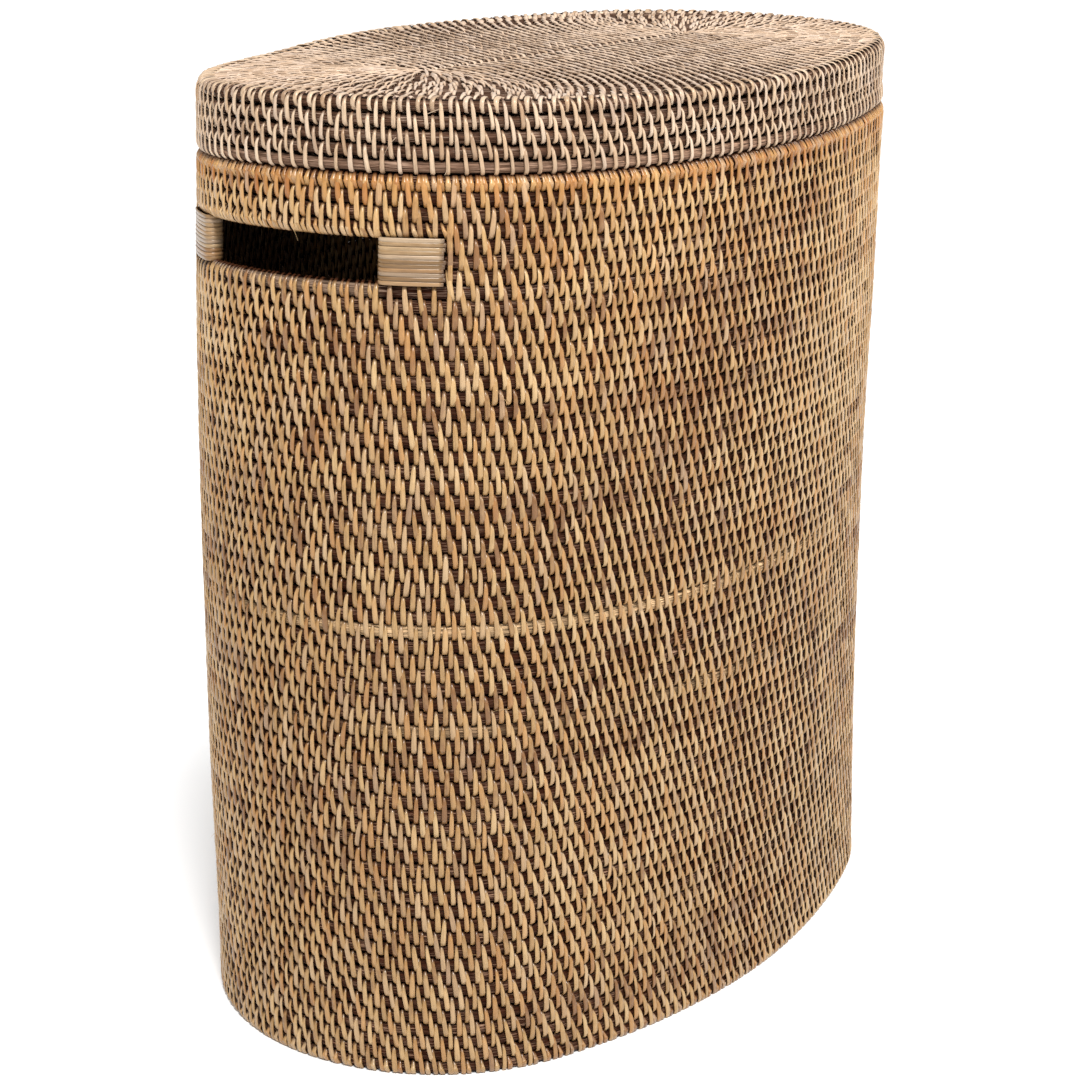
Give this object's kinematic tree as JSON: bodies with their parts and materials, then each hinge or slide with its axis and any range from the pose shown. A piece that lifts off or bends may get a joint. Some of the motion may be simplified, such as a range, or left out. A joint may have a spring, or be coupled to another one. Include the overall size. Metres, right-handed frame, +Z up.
{
  "type": "laundry hamper",
  "caption": "Oval laundry hamper coiled from rattan, with a hand hole at each rounded end and a flush lift-off lid.",
  "frame": {"origin": "on the ground under the middle of the hamper", "axes": "+X along the long way to one hand hole, +Y across to a long flank, +Z up through the lid"},
  "size_m": [0.547, 0.334, 0.6],
  "materials": {
    "cane": "lightly lacquered honey-brown rattan splint over darker cane",
    "cane_dark": "lightly lacquered brown rattan splint over darker cane",
    "rim_cane": "satin golden rattan splint, closely wrapped",
    "peel": "satin light tan rattan peel",
    "lid_cane": "matt greyish-tan rattan splint over darker cane",
    "lid_cane_dark": "matt greyish-brown rattan splint over darker cane"
  },
  "bodies": {
    "basket": {"foot_course": "cane_dark", "wall_band_01": "cane", "wall_band_02": "cane_dark", "wall_band_03": "cane", "wall_band_04": "cane_dark", "wall_band_05": "cane", "wall_band_06": "cane_dark", "wall_band_07": "cane", "wall_band_08": "cane_dark", "wall_band_09": "cane", "wall_band_10": "cane_dark", "wall_band_11": "cane", "front_beside_holes": "cane", "back_beside_holes": "cane", "left_front_binding": "peel", "left_back_binding": "peel", "right_front_binding": "peel", "right_back_binding": "peel", "upper_courses": "cane", "rim_course": "rim_cane", "floor_heart": "cane", "floor_coils_1": "cane_dark", "floor_coils_2": "cane"},
    "lid": {"lid_top_heart": "lid_cane", "lid_top_coils_1": "lid_cane_dark", "lid_top_coils_2": "lid_cane", "lid_edge_course": "lid_cane_dark", "lid_course_4": "lid_cane", "lid_course_3": "lid_cane_dark", "lid_course_2": "lid_cane", "lid_course_1": "lid_cane_dark", "lid_locating_ring": "lid_cane_dark"}
  },
  "joints": [
    {"name": "lid_lift", "type": "slide", "parent": "basket", "child": "lid", "axis": [0, 0, 1], "range_m": [0, 0.2]}
  ]
}
